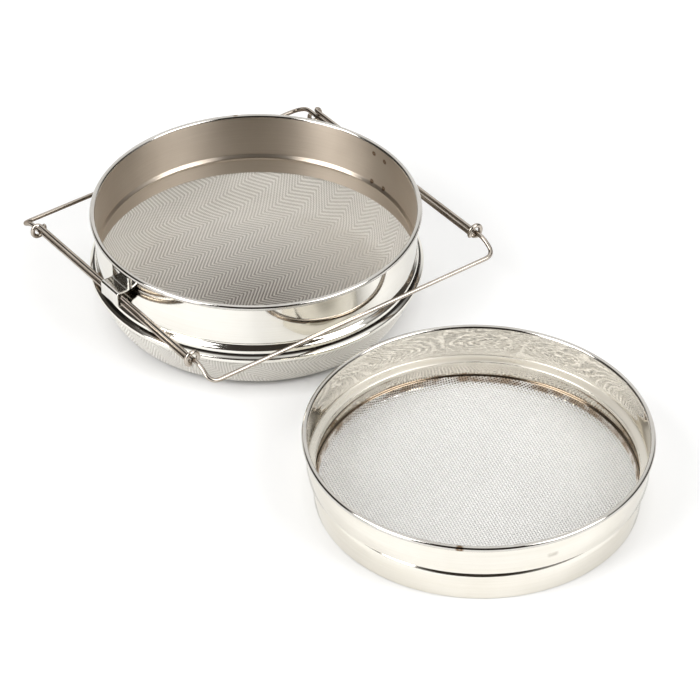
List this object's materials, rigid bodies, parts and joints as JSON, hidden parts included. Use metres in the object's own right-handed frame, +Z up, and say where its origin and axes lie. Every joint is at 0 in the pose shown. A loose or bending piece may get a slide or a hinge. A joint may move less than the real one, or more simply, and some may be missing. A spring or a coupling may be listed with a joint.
{
  "type": "two-stage strainer",
  "caption": "Round stainless strainer set: lower sieve with a fine woven bowl and a sliding wire bracket, upper sieve with a coarse flat net that stacks on its rim.",
  "frame": {"origin": "centre of the lower sieve's flat foot, on the table", "axes": "+Z up, +X along the crossbars, +Y from the upper sieve towards the lower one, so the front frame slides out along -Y and the rear frame along +Y"},
  "size_m": [0.2614, 0.5105, 0.08],
  "materials": {
    "polished_wall": "mirror-polished stainless sheet",
    "brushed_wall": "satin stainless sheet, warm grey inside",
    "woven_wire": "woven stainless wire cloth",
    "wire": "bright drawn stainless wire"
  },
  "bodies": {
    "lower_sieve": {"lower_wall": "brushed_wall", "lower_rim_wire": "wire", "lower_bowl_mesh": "woven_wire", "lower_clamp_ring": "polished_wall", "left_clip": "polished_wall", "right_clip": "polished_wall"},
    "front_frame": {"front_frame": "wire"},
    "rear_frame": {"rear_frame": "wire"},
    "upper_sieve": {"upper_wall": "polished_wall", "upper_rim_wire": "wire", "upper_net": "woven_wire", "upper_net_hoop": "brushed_wall"}
  },
  "joints": [
    {"name": "front_frame_slide", "type": "slide", "parent": "lower_sieve", "child": "front_frame", "axis": [0, -1, 0], "range_m": [0, 0.084]},
    {"name": "rear_frame_slide", "type": "slide", "parent": "lower_sieve", "child": "rear_frame", "axis": [0, 1, 0], "range_m": [0, 0.084]},
    {"name": "upper_sieve_lift", "type": "slide", "parent": "lower_sieve", "child": "upper_sieve", "axis": [0, 0, 1], "range_m": [0, 0.12]}
  ]
}
